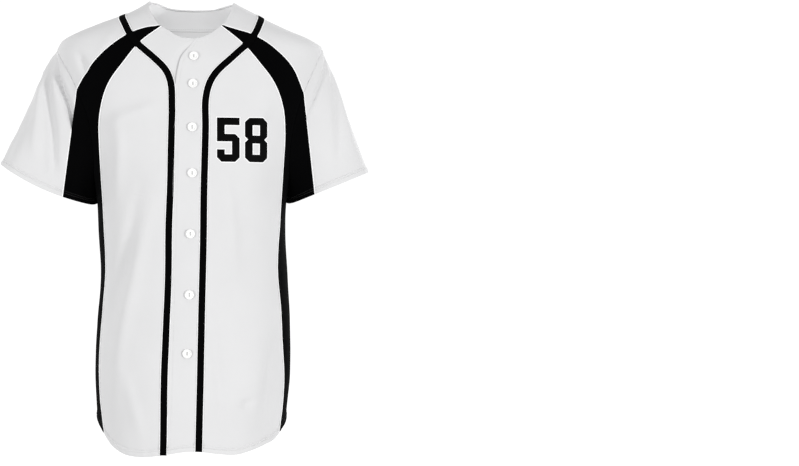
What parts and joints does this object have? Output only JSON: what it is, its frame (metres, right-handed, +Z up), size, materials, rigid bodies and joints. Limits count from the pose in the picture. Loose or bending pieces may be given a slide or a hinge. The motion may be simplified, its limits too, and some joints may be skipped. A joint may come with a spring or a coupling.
{
  "type": "baseball jersey",
  "caption": "Short-sleeved button-front baseball jersey, filled out and hollow, with contrast insets from neck to underarm, a braid down the fronts and a curved shirt-tail hem.",
  "frame": {"origin": "the middle of the line between the shoulders, at the level of the shoulders where the wearer holds the jersey up", "axes": "+Z up towards the neck, -Y to the front with the buttons, +X to the wearer's left"},
  "size_m": [0.6456, 0.2808, 0.7833],
  "materials": {
    "cloth_white": "matt knitted cloth, very light grey-white",
    "cloth_black": "matt knitted cloth, black",
    "tape_black": "flat woven tape, black",
    "button_white": "polished, white"
  },
  "bodies": {
    "root": {"front_right": "cloth_white", "front_left": "cloth_white", "back": "cloth_white", "yoke_right": "cloth_white", "yoke_left": "cloth_white", "sleeve_right": "cloth_white", "sleeve_left": "cloth_white", "neck_facing": "cloth_white", "inset_right": "cloth_black", "inset_left": "cloth_black", "gusset_right": "cloth_black", "gusset_left": "cloth_black", "tape": "tape_black", "button_1": "button_white", "button_2": "button_white", "button_3": "button_white", "button_4": "button_white", "button_5": "button_white", "button_6": "button_white", "button_7": "button_white"}
  },
  "joints": []
}
